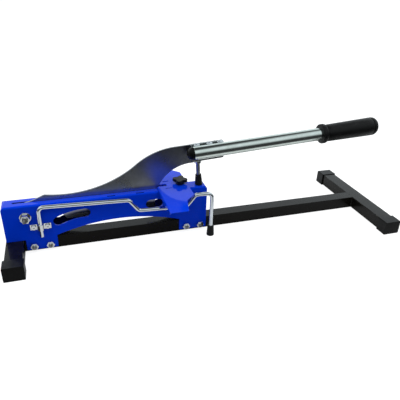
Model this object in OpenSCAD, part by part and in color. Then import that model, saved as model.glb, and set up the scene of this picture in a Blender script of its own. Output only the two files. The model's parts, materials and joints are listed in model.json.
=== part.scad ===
// Guillotine cutter for laminate and plank flooring.
// Seen from above, +X runs from the blade's pivot to the hand grip and +Y points to the far side.
// Lengths along X are set out from the pivot end of the cutting channel, and heights
// from the underside of the main beam. The whole tool is then moved so that it stands
// on z = 0, centred on its base.

/* [Base frame] */
// Width and height of the square main beam
beam_w = 25; // [22:0.5:28]
// Wall of the beam and of the two crossbars
tube_wall = 2; // [1.5:0.25:3]
// Length of the main beam between the two crossbars
beam_l = 699; // [600:1:800]
// Width of a crossbar, along the beam
crossbar_w = 30; // [27:0.5:34]
// Length of the crossbar under the pivot end
pivot_crossbar_l = 188; // [160:1:220]
// Length of the crossbar under the handle end
handle_crossbar_l = 259; // [220:1:300]
// How far the pivot crossbar stands out past the cutting channel
crossbar_step = 1.4; // [0.5:0.1:3]
// Length of a plastic end cap
cap_l = 24; // [18:0.5:30]
// Wall of a plastic end cap around the crossbar
cap_wall = 1.5; // [1:0.1:2.5]
// Wall of a cap at the two sides of the crossbar
cap_side = 2.8; // [1.5:0.1:3.5]
// Thickness of the closed end of a cap
cap_end = 3; // [2:0.5:5]
// Size of the weld beads of the frame
frame_weld = 4; // [2:0.5:6]

/* [Cutting channel] */
// Thickness of the channel's sheet steel
sheet = 3; // [2.5:0.25:3.5]
// Length of the channel
channel_l = 376; // [370:1:385]
// Height of the channel's top above the underside of the beam
channel_h = 94.8; // [92:0.2:98]
// Outside radius of the channel's bent edges
channel_bend = 3.7; // [3.7:0.1:6]
// Radius of the channel's corners, seen from the side
channel_corner = 6; // [3:0.5:9]
// Gap between the channel's legs and each side of the beam
leg_fit = 0.1; // [0.05:0.05:0.3]
// Where the pivot-end leg starts, from the pivot end of the channel
pivot_leg_x = 32.6; // [30:0.2:36]
// Width of the leg at the pivot end
pivot_leg_w = 54.5; // [48:0.5:58]
// Width of the leg at the handle end
handle_leg_w = 55.5; // [50:0.5:60]
// Height of the feet of both legs above the underside of the beam
leg_foot_z = 3.3; // [1:0.1:4]
// Gap between the channel and the top of the frame at the foot of the arch
arch_gap = 3.2; // [2:0.1:6]
// Rise of the arch between the legs
arch_rise = 19.3; // [14:0.1:22]
// Pivot end of the slot for the blade
slot_x0 = 18.6; // [16:0.2:20]
// Gap between the back edge of the blade and the end of its slot
slot_end_gap = 6.95; // [5:0.05:9]
// Gap between the blade and each side of its slot
slot_gap = 0.6; // [0.4:0.1:1]
// Length of the small slots in the channel's top
top_slot_l = 15; // [10:0.5:20]
// Width of the small slots in the channel's top
top_slot_w = 2.4; // [1.5:0.1:3]
// Distance of the small slots from the middle of the channel
top_slot_y = 12; // [10:0.5:13]
// Where the first small slot starts
top_slot_x = 182.6; // [175:0.2:190]
// Distance from one small slot to the next
top_slot_pitch = 53.4; // [45:0.2:60]
// Radius of the middle line of the curved windows
window_r = 120; // [114:1:126]
// Width of the curved windows
window_w = 18; // [14:0.5:19]
// Angle that the first window spans
window_angle = 24.2; // [20:0.2:25]
// Where the first window's upper end lies, from the pivot end of the channel
window_x = 141.6; // [138:0.2:146]
// Height of the first window's upper end above the underside of the beam
window_z = 67.5; // [64:0.5:69]
// Where the second window is highest, from the pivot end of the channel
window_2_x = 270; // [266:0.5:274]
// Height of the second window's middle line there, above the underside of the beam
window_2_z = 70.2; // [66:0.2:71]

/* [Bolts] */
// Thread size of the bolts through the beam
bolt_d = 8; // [6:1:10]
// Gap between a bolt and its hole, in radius
bolt_gap = 0.2; // [0.1:0.05:0.4]
// Height of the bolts above the underside of the beam
bolt_z = 12; // [10:0.5:14]
// Distance of each bolt from the outer edge of its leg
bolt_edge = 13.2; // [11:0.2:16]

/* [Blade and pivot] */
// Thickness of the blade
blade_t = 3; // [2.5:0.25:3.5]
// Distance of the pivot from the pivot end of the channel
pivot_x = 38; // [36:0.5:40]
// Depth of the pivot below the top of the channel
pivot_drop = 22.5; // [22:0.5:24]
// Diameter of the pivot bolt
pivot_d = 10; // [8:0.5:12]
// Running gap around the pivot bolt, in radius
pivot_gap = 0.08; // [0.05:0.01:0.1]
// Radius of the blade's round end about the pivot
hub_r = 21; // [18:0.5:21.5]
// Outside diameter of the spacers on the pivot bolt
spacer_d = 18; // [15:0.5:22]
// Running gap between each spacer and the blade
spacer_gap = 0.1; // [0.05:0.05:0.3]
// Height of the blade below the top of the channel, at the cutting edge
edge_drop = 42; // [38:0.5:43]
// Length of the ground bevel of the cutting edge
bevel_l = 7; // [4:0.5:10]

/* [Lever] */
// Angle of the lever above the horizontal when the blade is shut
lever_slope = 4; // [2:0.5:5]
// Distance of the tube's end from the handle end of the channel
tube_back = 31.4; // [26:0.2:36]
// Height of the tube's end above the channel, at its middle
tube_rise = 72.8; // [70:0.5:76]
// Diameter of the handle tube
tube_d = 25; // [22:0.5:27]
// Length of the handle tube
tube_l = 386; // [350:1:400]
// Thickness of the bracket plate between the blade and the tube
bracket_t = 5; // [4:0.5:7]
// Length of the bracket plate
bracket_l = 64; // [56:1:72]
// Height of the bracket plate above the middle of the tube
bracket_up = 12.5; // [11:0.5:15]
// Depth of the bracket plate below the middle of the tube
bracket_down = 23; // [20:0.5:24]
// Size of the weld beads along the tube
tube_weld = 4; // [3:0.5:5]
// Thread size of the screws through blade and bracket
bracket_screw_d = 6; // [5:0.5:8]
// Thickness of the grip's closed end
grip_end_t = 8; // [4:0.5:12]
// Length of the grip
grip_l = 129; // [110:1:150]
// Diameter of the grip's collar
grip_collar_d = 39; // [36:0.5:44]
// Diameter of the grip where it starts, behind the collar
grip_d0 = 34; // [31:0.5:36]
// Diameter of the grip near its end
grip_d1 = 37; // [34:0.5:40]

/* [Stop] */
// Distance of the stop rod from the tube's end, along the tube
stop_u = 12.5; // [11:0.5:18]
// Diameter of the stop rod
stop_d = 8; // [6:0.5:8]
// Height of the rubber stop foot
stop_foot_h = 22; // [16:0.5:28]
// Diameter of the stop foot at its top
stop_foot_d0 = 11.5; // [11:0.5:14]
// Diameter of the stop foot at the channel
stop_foot_d1 = 15; // [14:0.5:17]
// Gap between the stop foot and the channel when the blade is shut
stop_gap = 0.1; // [0.05:0.05:0.3]

/* [Support arm] */
// Diameter of the bent rod of the support arm
arm_d = 7.5; // [6:0.5:8]
// Distance of the arm's hinge from the pivot end of the channel
arm_x = 61.3; // [59:0.5:64]
// How far the arm stands swung out at rest
arm_swing = 3.7; // [3:0.1:5]
// How far the middle of the arm's foot stands past the handle end of the channel
arm_past = 2.8; // [-8:0.2:12]
// Height of the lower end of the arm's hinge leg above the underside of the beam
arm_leg_z = 31.5; // [26:0.5:34]
// How far the arm dips to pass under the fence
arm_dip = 23; // [18:0.5:28]
// Distance from where the arm starts to dip to the fence's face
dip_before = 58.3; // [52:0.1:66]
// Distance from the fence plate to where the arm is level again
dip_after = 7.9; // [4:0.1:12]
// Radius of the bends of the rod, at its middle
arm_bend = 10; // [8:0.5:11]
// Height of the arm's rubber foot
arm_foot_h = 21; // [15:0.5:26]
// Diameter of the arm's foot at its top
arm_foot_d0 = 12.5; // [11:0.5:14]
// Diameter of the arm's foot on the floor
arm_foot_d1 = 15; // [13:0.5:18]
// Running gap between the rod and its clamp, in radius
clamp_gap = 0.1; // [0.06:0.01:0.1]
// Gap between the rod and the channel
arm_clearance = 0.3; // [0.2:0.05:0.6]
// Thickness of the clamp strap
strap_t = 2; // [1.5:0.25:2.5]
// Height of the clamp strap
strap_h = 11; // [9:0.5:14]
// Width of the clamp strap with its ears
strap_w = 36; // [34:0.5:40]
// Height of the clamp's middle above the underside of the beam
strap_z = 51.3; // [48:0.5:56]
// Thread size of the clamp screws
clamp_screw_d = 5; // [4:0.5:5]

/* [Fence] */
// Distance of the fence's face from the handle end of the channel
fence_back = 97.4; // [94:0.2:98]
// Thickness of the fence plate
fence_t = 2.5; // [2:0.25:3]
// Thickness of the spacer between channel and fence plate
fence_lift = 2.2; // [1.8:0.1:3]
// Half length of the fence's face
fence_half = 110; // [95:1:125]
// Width of the fence plate at its ends
fence_tip_w = 32.5; // [28:0.5:36]
// Width of the fence plate at its middle
fence_mid_w = 59.8; // [58:0.2:66]
// How far the fence's folded lip hangs below its plate
lip_drop = 6; // [4:0.5:8]
// Distance of the fence's screw from its face
fence_screw_x = 46; // [42:0.5:48]
// Length of the notch that the blade's heel passes through
notch_l = 19; // [16:0.5:22]
// Width of the notch
notch_w = 9; // [8:0.5:10]
// Diameter of the fence's carriage bolt
fence_bolt_d = 8; // [6:1:8]
// Running gap around the carriage bolt, in radius
fence_gap = 0.08; // [0.05:0.01:0.1]
// Diameter of the star knob
knob_d = 29; // [26:0.5:31]
// Height of the knob's neck
knob_neck_h = 4.5; // [4:0.5:8]
// Height of the knob's head
knob_head_h = 6; // [5:0.5:9]

/* [Hidden] */
$fn = 64;
eps = 0.01;
// Overlap of two forms of one solid, and of a cut past the face it opens
lap = 1;

// ---- Places worked out from the sizes above ----
channel_w = beam_w + 2 * leg_fit + 2 * sheet;
flange_y = channel_w / 2;
flange_in = flange_y - sheet;
frame_x0 = -crossbar_step;
beam_x0 = frame_x0 + crossbar_w;
handle_bar_x = beam_x0 + beam_l;
frame_x1 = handle_bar_x + crossbar_w;
handle_leg_x = channel_l - handle_leg_w;
pivot_leg_end = pivot_leg_x + pivot_leg_w;
pivot_z = channel_h - pivot_drop;
blade_y = blade_t / 2;
edge_z = channel_h - edge_drop;
tube_x = channel_l - tube_back;
tube_z = channel_h + tube_rise;
bracket_y = -blade_y - bracket_t;
tube_y = bracket_y - tube_d / 2;
grip_start = tube_l + grip_end_t - grip_l;
arm_y = -(flange_y + arm_d / 2 + arm_clearance);
arm_z = channel_h - arm_d / 2;
floor_z = -cap_wall;
fence_x = channel_l - fence_back;
fence_z = channel_h + fence_lift;
fence_pivot_x = fence_x + fence_screw_x;
fence_top = fence_z + fence_t;
knob_gap = 0.1;
knob_z = fence_top + knob_gap;

// Height and width across flats of a hexagon nut, as shares of its thread
hex_nut_h = 0.8;
hex_across = 1.625;

// Moves the tool onto the ground, centred on its base
module stand() {
    translate([-(frame_x0 + frame_x1) / 2, 0, cap_wall]) children();
}

// The lever's own frame: x runs along the tube from its end, z across it
module on_lever() {
    translate([tube_x, 0, tube_z]) rotate([0, -lever_slope, 0]) children();
}

// Turns a flat shape in X and Z into a plate that is t thick, with y as its middle
module plate(t, y = 0) {
    translate([0, y + t / 2, 0]) rotate([90, 0, 0]) linear_extrude(t) children();
}

// A cylinder along Y from y0 to y1
module bar_y(d, y0, y1) {
    translate([0, y0, 0]) rotate([-90, 0, 0]) cylinder(d = d, h = y1 - y0);
}

// A hexagon prism along Y from y0 to y1, with a flat facing down
module hex_y(across, y0, y1) {
    translate([0, y0, 0]) rotate([-90, 0, 0]) hex_prism(across, y1 - y0);
}

// A hexagon prism along Z
module hex_prism(across, h) {
    cylinder(d = across / cos(30), h = h, $fn = 6);
}

// Points of an arc about c from angle a0 to a1
function arc(c, r, a0, a1, n = 12) =
    [for (i = [0:n]) let (a = a0 + (a1 - a0) * i / n) c + r * [cos(a), sin(a)]];

// Corner points of a polygon replaced by short arcs of radius r, for left and right turns
function corner(p, q, s, r, n = 5) =
    let (u = (p - q) / norm(p - q), v = (s - q) / norm(s - q), half = acos(u * v) / 2,
        mid = (u + v) / norm(u + v), c = q + mid * r / sin(half), side = sign(u.x * v.y - u.y * v.x),
        a0 = atan2(-mid.y, -mid.x) + side * (90 - half))
    arc(c, r, a0, a0 - 2 * side * (90 - half), n);
function rounded(points, r) = let (n = len(points))
    [for (i = [0:n - 1]) for (p = corner(points[(i + n - 1) % n], points[i], points[(i + 1) % n], r)) p];

// ---- Base frame ----
module square_tube(l, w, h) {
    difference() {
        translate([0, -w / 2, 0]) cube([l, w, h]);
        translate([-eps, -w / 2 + tube_wall, tube_wall])
            cube([l + 2 * eps, w - 2 * tube_wall, h - 2 * tube_wall]);
    }
}

// Places of the four bolts along the beam
bolt_xs = [pivot_leg_x + bolt_edge, pivot_leg_end - bolt_edge,
    handle_leg_x + bolt_edge, channel_l - bolt_edge];

module main_beam() {
    color("#2b2b2b") stand() difference() {
        translate([beam_x0, 0, 0]) square_tube(beam_l, beam_w, beam_w);
        for (x = bolt_xs) translate([x, 0, bolt_z])
            bar_y(bolt_d + 2 * bolt_gap, -beam_w, beam_w);
    }
}

module crossbar(x, l) {
    color("#2b2b2b") stand() translate([x + crossbar_w / 2, -l / 2, 0]) rotate([0, 0, 90])
        square_tube(l, crossbar_w, beam_w);
}

module pivot_crossbar() { crossbar(frame_x0, pivot_crossbar_l); }
module handle_crossbar() { crossbar(handle_bar_x, handle_crossbar_l); }

// Fillet welds in the four upright corners where the beam meets the crossbars
weld_hollow = 0.8;
module frame_welds() {
    color("#303030") stand() for (end = [0, 1]) for (side = [-1, 1])
        translate([beam_x0 + end * beam_l, side * beam_w / 2, 0])
            mirror([end, 0, 0]) mirror([0, side < 0 ? 1 : 0, 0]) linear_extrude(beam_w)
                difference() {
                    square(frame_weld);
                    translate([frame_weld, frame_weld]) circle(r = weld_hollow * frame_weld);
                }
}

// Pair of caps on the ends of one crossbar
module crossbar_caps(x, l) {
    inner = [cap_l - cap_end, crossbar_w, beam_w];
    color("#151515") stand() for (side = [-1, 1])
        translate([x + crossbar_w / 2, side * (l / 2 - inner.x), beam_w / 2]) rotate([0, 0, side * 90])
            difference() {
                translate([0, -crossbar_w / 2 - cap_side, -beam_w / 2 - cap_wall])
                    cap_block([cap_l, crossbar_w + 2 * cap_side, beam_w + 2 * cap_wall]);
                translate([-eps, -inner.y / 2, -inner.z / 2]) cube([inner.x + eps, inner.y, inner.z]);
            }
}

// Block with rounded long edges
cap_corner = 2;
module cap_block(size) {
    rotate([90, 0, 90]) linear_extrude(size.x)
        polygon(rounded([[0, 0], [size.y, 0], [size.y, size.z], [0, size.z]], cap_corner));
}

module pivot_crossbar_caps() { crossbar_caps(frame_x0, pivot_crossbar_l); }
module handle_crossbar_caps() { crossbar_caps(handle_bar_x, handle_crossbar_l); }

// ---- Cutting channel ----
// Side view of one flange with its two legs and the arch between them
sill_gap = 0.3;
module channel_side() {
    sill_z = beam_w + sill_gap;
    foot = beam_w + arch_gap;
    chord = (handle_leg_x - pivot_leg_end) / 2;
    r = (chord * chord + arch_rise * arch_rise) / (2 * arch_rise);
    middle = [(handle_leg_x + pivot_leg_end) / 2, foot + arch_rise - r];
    half = asin(chord / r);
    difference() {
        polygon(concat(
            [[0, sill_z], [pivot_leg_x, sill_z], [pivot_leg_x, leg_foot_z],
                [pivot_leg_end, leg_foot_z]],
            arc(middle, r, 90 + half, 90 - half, 24),
            [[handle_leg_x, leg_foot_z], [channel_l, leg_foot_z]],
            arc([channel_l - channel_corner, channel_h - channel_corner], channel_corner, 0, 90, 8),
            arc([channel_corner, channel_h - channel_corner], channel_corner, 90, 180, 8)));
        window_shape([window_x, window_z], 90, 90 + window_angle);
        window_shape([window_2_x, window_2_z], window_2_from, window_2_to);
    }
}

// A curved window is an arc-shaped slot with round ends; its middle line is highest at top
window_2_from = 86;
window_2_to = 93.5;
module window_shape(top, a0, a1) {
    half = window_w / 2;
    c = top - [0, window_r];
    end_0 = c + window_r * [cos(a0), sin(a0)];
    end_1 = c + window_r * [cos(a1), sin(a1)];
    polygon(concat(arc(c, window_r - half, a0, a1, 16), arc(end_1, half, a1 + 180, a1, 12),
        arc(c, window_r + half, a1, a0, 16), arc(end_0, half, a0, a0 - 180, 12)));
}

// Outline of the folded sheet across the channel, open at the bottom
module channel_section() {
    w = channel_w;
    wi = w - 2 * sheet;
    ri = channel_bend - sheet;
    difference() {
        polygon(concat([[-w / 2, 0], [w / 2, 0]],
            arc([w / 2 - channel_bend, channel_h - channel_bend], channel_bend, 0, 90, 8),
            arc([-w / 2 + channel_bend, channel_h - channel_bend], channel_bend, 90, 180, 8)));
        polygon(concat([[-wi / 2, -lap], [wi / 2, -lap]],
            arc([wi / 2 - ri, channel_h - sheet - ri], ri, 0, 90, 8),
            arc([-wi / 2 + ri, channel_h - sheet - ri], ri, 90, 180, 8)));
    }
}

module cutting_channel() {
    color("#1238c8") stand() difference() {
        intersection() {
            rotate([90, 0, 90]) linear_extrude(channel_l) channel_section();
            plate(channel_w + 2 * lap) channel_side();
        }
        top_cut(slot_x0, slot_x1 - slot_x0, 0, blade_t + 2 * slot_gap);
        for (side = [-1, 1]) for (i = [0, 1])
            top_cut(top_slot_x + i * top_slot_pitch, top_slot_l, side * top_slot_y, top_slot_w);
        for (x = bolt_xs) translate([x, 0, bolt_z])
            bar_y(bolt_d + 2 * bolt_gap, -channel_w, channel_w);
        translate([pivot_x, 0, pivot_z]) bar_y(pivot_d + 2 * pivot_gap, -channel_w, channel_w);
        for (side = [-1, 1]) translate([arm_x + side * clamp_screw_x, 0, strap_z])
            bar_y(clamp_screw_d + 2 * bolt_gap, -channel_w, -flange_in + lap);
        translate([fence_pivot_x, 0, channel_h]) cube([square_neck, square_neck, 3 * sheet], center = true);
    }
}

// Straight slot with square ends through the channel's top
module top_cut(x, l, y, w) {
    translate([x, y - w / 2, channel_h - 2 * sheet]) cube([l, w, 3 * sheet]);
}

bolt_head_h = 0.66 * bolt_d;
bolt_nut_h = hex_nut_h * bolt_d;
bolt_tail = 2.5;
module channel_bolts() {
    color("#c9ccd0") stand() for (x = bolt_xs) translate([x, 0, bolt_z]) {
        bar_y(bolt_d, -flange_y - bolt_nut_h - bolt_tail, flange_y + lap);
        hex_y(hex_across * bolt_d, flange_y, flange_y + bolt_head_h);
    }
}

// Hexagon nut along Y with a bore and chamfered corners
module hex_nut(d, bore, y0, h) {
    difference() {
        intersection() {
            hex_y(hex_across * d, y0, y0 + h);
            translate([0, y0, 0]) rotate([-90, 0, 0]) nut_crown(hex_across * d, h);
        }
        bar_y(bore, y0 - lap, y0 + h + lap);
    }
}

// Round envelope that chamfers the corners of a nut at its outer face
crown_r = 0.98;
crown_rise = 0.6;
module nut_crown(across, h) {
    r = across / 2 / cos(30);
    r0 = crown_r * across / 2;
    rotate_extrude() polygon([[0, 0], [r0, 0], [r, crown_rise * (r - r0)], [r + lap, h], [0, h]]);
}

module channel_nuts() {
    color("#c9ccd0") stand() for (x = bolt_xs) translate([x, 0, bolt_z])
        hex_nut(bolt_d, bolt_d, -flange_y - bolt_nut_h, bolt_nut_h);
}

// ---- Pivot ----
pivot_nut_w = 1.5 * pivot_d;
pivot_nut_h = pivot_d;
pivot_flange_d = 2 * pivot_d;
pivot_flange_t = 1.8;
pivot_head_h = 0.64 * pivot_d;
pivot_tail = 3;
module pivot_bolt() {
    color("#c9ccd0") stand() translate([pivot_x, 0, pivot_z]) {
        bar_y(pivot_d, -flange_y - pivot_nut_h - pivot_tail, flange_y + lap);
        hex_y(hex_across * pivot_d, flange_y, flange_y + pivot_head_h);
    }
}

module pivot_nut() {
    color("#d5d8db") stand() translate([pivot_x, 0, pivot_z]) difference() {
        union() {
            bar_y(pivot_flange_d, -flange_y - pivot_flange_t, -flange_y);
            hex_y(pivot_nut_w, -flange_y - pivot_nut_h, -flange_y);
        }
        bar_y(pivot_d, -flange_y - pivot_nut_h - lap, -flange_y + lap);
    }
}

module pivot_spacers() {
    color("#8d9196") stand() translate([pivot_x, 0, pivot_z]) for (side = [0, 1])
        mirror([0, side, 0]) difference() {
            bar_y(spacer_d, blade_y + spacer_gap, flange_in);
            bar_y(pivot_d, 0, flange_in + lap);
        }
}

// ---- Blade ----
// Side view of the blade, shut. The back dips in a long hollow and then swells over a
// round shoulder into the neck that carries the tube.
hub = [pivot_x, pivot_z];
hub_from = 348;
hub_to = 98;
throat = [[pivot_x + 12, channel_h + 1.2], [pivot_x + 20.5, channel_h + 4.4]];
nose_x = pivot_x + 35.6;
hollow_c = [pivot_x + 72.2, channel_h + 217.1];
hollow_r = 209.4;
hollow_x1 = tube_x - 114.6;
shoulder_c = [tube_x - 22.3, channel_h - 50.6];
shoulder_r = 132.5;
shoulder_x0 = tube_x - 106;
shoulder_to = 92;
tang_up = 11;
tang_inset = 4;
tang_corner = 3;
tang_slant = 6;
neck_c = [tube_x + 3.9, channel_h - 27.4];
neck_r = 74.1;
neck_from = 90;
neck_gap = 0.4;
heel_r = 6;
relief = [pivot_x + 62, pivot_z - 6.3];
relief_run = 8;

// Place of the blade's back edge along X at a height z, in the hollow under its neck
function back_x(z) = neck_c.x - sqrt(neck_r * neck_r - (z - neck_c.y) * (z - neck_c.y));
slot_x1 = back_x(channel_h) + slot_end_gap;

// A point of the lever's frame seen from the side, in the channel's frame
function lever_point(u, v) = [tube_x, tube_z]
    + u * [cos(lever_slope), sin(lever_slope)] + v * [-sin(lever_slope), cos(lever_slope)];

module blade_side() {
    heel_z = edge_z + heel_r;
    tang_end = bracket_l - tang_inset;
    neck_u = stop_u - stop_nut_w / 2 / cos(30) - neck_gap;
    polygon(concat(
        arc(hub, hub_r, hub_from, hub_to, 24), throat,
        arc(hollow_c, hollow_r, 270 - asin((hollow_c.x - nose_x) / hollow_r),
            270 + asin((hollow_x1 - hollow_c.x) / hollow_r), 20),
        arc(shoulder_c, shoulder_r, acos((shoulder_x0 - shoulder_c.x) / shoulder_r), shoulder_to, 14),
        [lever_point(0, tang_up), lever_point(tang_end - tang_corner, tang_up),
            lever_point(tang_end, tang_up - tang_corner), lever_point(tang_end, tang_slant - bracket_down),
            lever_point(tang_end - tang_slant, -bracket_down), lever_point(neck_u, -bracket_down),
            [lever_point(neck_u, -bracket_down).x, neck_c.y + neck_r]],
        arc(neck_c, neck_r, neck_from, 180 - asin((heel_z - neck_c.y) / neck_r), 16),
        arc([back_x(heel_z) - heel_r, heel_z], heel_r, 0, -90, 6),
        [[relief.x + relief_run, edge_z], relief]));
}

// The ground bevel leaves a narrow flat at the cutting edge
edge_flat = 0.2;
bevel_tilt = atan((blade_y - edge_flat) / bevel_l);
module blade() {
    color("#4a4b4e") stand() difference() {
        plate(blade_t) blade_side();
        translate([pivot_x, 0, pivot_z]) bar_y(pivot_d + 2 * pivot_gap, -blade_t, blade_t);
        for (at = bracket_screw_at) on_lever() translate([at.x, 0, at.y])
            bar_y(bracket_screw_d, -blade_t, blade_t);
        for (side = [-1, 1]) translate([relief.x, side * blade_y, edge_z])
            rotate([side * bevel_tilt, 0, 0]) translate([0, side > 0 ? 0 : -blade_t, -bevel_l])
                cube([channel_l / 2, blade_t, 2 * bevel_l]);
    }
}

// ---- Lever ----
bracket_screw_at = [for (z = [-14, 5]) for (x = [22, 50]) [x, z]];
bracket_lead = 1;
bracket_corner = 3;
module handle_bracket() {
    color("#b9beb9") stand() on_lever() difference() {
        plate(bracket_t, (bracket_y - blade_y) / 2) polygon(rounded([[-bracket_lead, -bracket_down],
            [bracket_l, -bracket_down], [bracket_l, bracket_up], [-bracket_lead, bracket_up]], bracket_corner));
        for (at = bracket_screw_at) translate([at.x, 0, at.y])
            bar_y(bracket_screw_d, bracket_y - lap, blade_y);
    }
}

// Cap screws from behind, through the blade into the bracket
socket_floor = 1;
module bracket_screws() {
    head_d = 1.75 * bracket_screw_d;
    head_h = 0.55 * bracket_screw_d;
    key = 0.66 * bracket_screw_d;
    color("#9da0a3") stand() on_lever() for (at = bracket_screw_at) translate([at.x, 0, at.y])
        difference() {
            union() {
                bar_y(bracket_screw_d, bracket_y, blade_y + lap);
                bar_y(head_d, blade_y, blade_y + head_h);
            }
            hex_y(key, blade_y + socket_floor, blade_y + head_h + lap);
        }
}

// Short weld beads between the tube and the bracket plate, above and below the tube
weld_xs = [4, 30, 54];
weld_l = 9;
weld_sink = 1.5;
module bracket_welds() {
    color("#c8cdc8") stand() on_lever() for (side = [-1, 1]) for (x = weld_xs)
        translate([x, 0, 0]) intersection() {
            translate([0, bracket_y, side * (tube_d / 2 - weld_sink)]) rotate([0, 90, 0])
                cylinder(r = tube_weld, h = weld_l);
            difference() {
                translate([0, tube_y, -tube_d]) cube([weld_l, tube_d / 2, 2 * tube_d]);
                translate([-lap, tube_y, 0]) rotate([0, 90, 0]) cylinder(d = tube_d, h = weld_l + 2 * lap);
            }
        }
}

tube_bore = tube_d - 2 * tube_wall;
module handle_tube() {
    color("#c3c8c4") stand() on_lever() translate([0, tube_y, 0]) rotate([0, 90, 0]) difference() {
        cylinder(d = tube_d, h = tube_l);
        translate([0, 0, -lap]) cylinder(d = tube_bore, h = tube_l + 2 * lap);
    }
}

plug_stem = 14;
module tube_plug() {
    color("#161616") stand() on_lever() translate([0, tube_y, 0]) rotate([0, 90, 0]) {
        r = tube_d / 2;
        difference() {
            sphere(r = r);
            cylinder(r = 2 * r, h = 2 * r);
        }
        translate([0, 0, -lap]) cylinder(d = tube_bore, h = plug_stem + lap);
    }
}

// The grip has a raised collar with a groove behind it, and a rounded closed end
collar_l = 9.5;
collar_edge = 1;
groove_deep = 1.5;
groove_l = 3;
groove_slope = 3;
grip_end_r = 10;
module hand_grip() {
    bore_r = tube_d / 2;
    collar_r = grip_collar_d / 2;
    groove_r = grip_d0 / 2 - groove_deep;
    bore_end = grip_l - grip_end_t;
    color("#1a1a1a") stand() on_lever() translate([grip_start, tube_y, 0]) rotate([0, 90, 0])
        rotate_extrude() polygon(concat(
            [[bore_r, 0], [collar_r - collar_edge, 0], [collar_r, collar_edge],
                [collar_r, collar_l - 1.5 * collar_edge], [collar_r - 1.5 * collar_edge, collar_l],
                [groove_r, collar_l + collar_edge], [groove_r, collar_l + collar_edge + groove_l],
                [grip_d0 / 2, collar_l + collar_edge + groove_l + groove_slope]],
            arc([grip_d1 / 2 - grip_end_r, grip_l - grip_end_r], grip_end_r, 0, 90, 8),
            [[0, grip_l], [0, bore_end], [bore_r, bore_end]]));
}

// ---- Stop ----
stop_nut_w = hex_across * stop_d;
stop_nut_h = 0.5 * stop_d;
stop_y = (bracket_y + blade_y) / 2;
module stop_nut() {
    color("#aeb3b6") stand() on_lever() translate([stop_u, stop_y, -bracket_down - stop_nut_h])
        difference() {
            hex_prism(stop_nut_w, stop_nut_h);
            translate([0, 0, -lap]) cylinder(d = stop_d, h = stop_nut_h + 2 * lap);
        }
}

// Distance from the tube's middle down to the channel's top, along the stop rod
stop_reach = (tube_rise + stop_u * sin(lever_slope)) / cos(lever_slope);
foot_socket = 8;
module stop_rod() {
    color("#9aa4b0") stand() on_lever() translate([stop_u, stop_y, -stop_reach + stop_foot_h - foot_socket])
        cylinder(d = stop_d, h = stop_reach - stop_foot_h + foot_socket - bracket_down);
}

// Tapered rubber foot with a straight rim, standing on z = 0
module rubber_foot(d1, d0, h, rim) {
    cylinder(d = d1, h = rim);
    translate([0, 0, rim]) cylinder(d1 = d1, d2 = d0, h = h - rim);
}

// The stop foot's sole is cut level, so it lies flat on the channel when the blade is shut
stop_foot_rim = 2;
module stop_foot() {
    color("#141414") stand() intersection() {
        on_lever() translate([stop_u, stop_y, -stop_reach]) difference() {
            union() {
                translate([0, 0, -stop_foot_rim]) cylinder(d = stop_foot_d1, h = 2 * stop_foot_rim);
                rubber_foot(stop_foot_d1, stop_foot_d0, stop_foot_h, stop_foot_rim);
            }
            translate([0, 0, stop_foot_h - foot_socket]) cylinder(d = stop_d, h = foot_socket + lap);
        }
        translate([tube_x - tube_rise, -tube_rise, channel_h + stop_gap]) cube(2 * tube_rise);
    }
}

// ---- Support arm ----
// Turn at corner i of a path
function turn(path, i) = let (a = path[i] - path[i - 1], b = path[i + 1] - path[i])
    atan2(a.x * b.y - a.y * b.x, a * b);
function tangent(path, i, r) = i == 0 || i == len(path) - 1 ? 0 : r * tan(abs(turn(path, i)) / 2);

// Round rod bent along a flat path in X and Z, with bends of radius r
module bent_rod(path, d, r) {
    rotate([90, 0, 0]) {
        for (i = [0:len(path) - 2]) {
            step = path[i + 1] - path[i];
            from = tangent(path, i, r);
            to = tangent(path, i + 1, r);
            translate([path[i].x, path[i].y, 0]) rotate([0, 0, atan2(step.y, step.x)])
                translate([from, 0, 0]) rotate([0, 90, 0]) cylinder(d = d, h = norm(step) - from - to);
        }
        for (i = [1:len(path) - 2]) {
            a = (path[i] - path[i - 1]) / norm(path[i] - path[i - 1]);
            b = (path[i + 1] - path[i]) / norm(path[i + 1] - path[i]);
            inward = r * sign(turn(path, i));
            start = path[i] - a * tangent(path, i, r);
            to_start = [a.y, -a.x] * inward;
            to_end = [b.y, -b.x] * inward;
            translate(concat(start - to_start, 0)) intersection() {
                rotate_extrude() translate([r, 0]) circle(d = d);
                translate([0, 0, -d]) linear_extrude(2 * d)
                    polygon([[0, 0], 2 * to_start, 2 * to_start + 2 * to_end, 2 * to_end]);
            }
        }
    }
}

module on_arm() {
    translate([arm_x, arm_y, 0]) rotate([0, 0, -arm_swing]) children();
}

arm_reach = channel_l + arm_past - arm_x;
dip_start = fence_x - dip_before - arm_x;
dip_end = fence_x + fence_mid_w + dip_after - arm_x;
arm_low_z = arm_z - arm_dip;

// Run of the slope into the dip, a 3-4-5 triangle with the dip as its longer leg
dip_run = 0.75 * arm_dip;
arm_foot_top = floor_z + arm_foot_h;
arm_socket = 12;
arm_foot_rim = 3;
module support_arm() {
    color("#d6dade") stand() on_arm() bent_rod([[0, arm_leg_z], [0, arm_z], [dip_start, arm_z],
        [dip_start + dip_run, arm_low_z], [dip_end - dip_run, arm_low_z], [dip_end, arm_z],
        [arm_reach, arm_z], [arm_reach, arm_foot_top - arm_socket]], arm_d, arm_bend);
}

module arm_foot() {
    color("#141414") stand() on_arm() translate([arm_reach, 0, floor_z]) difference() {
        rubber_foot(arm_foot_d1, arm_foot_d0, arm_foot_h, arm_foot_rim);
        translate([0, 0, arm_foot_h - arm_socket]) cylinder(d = arm_d, h = arm_socket + lap);
    }
}

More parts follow.
